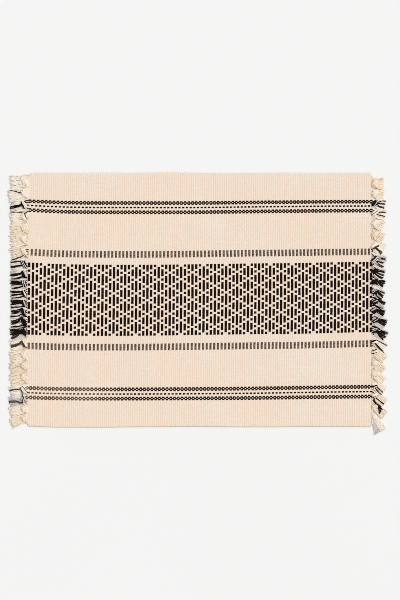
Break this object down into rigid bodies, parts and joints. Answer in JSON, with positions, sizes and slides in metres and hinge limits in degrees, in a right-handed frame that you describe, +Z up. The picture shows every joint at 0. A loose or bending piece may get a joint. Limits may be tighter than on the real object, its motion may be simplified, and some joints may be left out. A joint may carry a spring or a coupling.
{
  "type": "fabric placemat with knotted fringe",
  "caption": "Flat woven cotton placemat, ribbed, with a geometric woven band and stripes and a knotted fringe at both ends, lying on a table.",
  "frame": {"origin": "under the middle of the whole mat, fringe included, on the surface that it lies on", "axes": "+X along the mat's length, from the left fringe to the right one; +Y across its width, towards the far selvedge; +Z up, out of the patterned face"},
  "size_m": [0.4852, 0.3328, 0.0042],
  "materials": {
    "cloth": "thick ribbed cotton, matt, natural cream",
    "fringe": "knotted loose cotton yarn, matt, natural cream",
    "dark_yarn": "soft black cotton yarn, matt"
  },
  "bodies": {
    "root": {"mat": "cloth", "fringe_left": "fringe", "fringe_right": "fringe"}
  },
  "joints": []
}
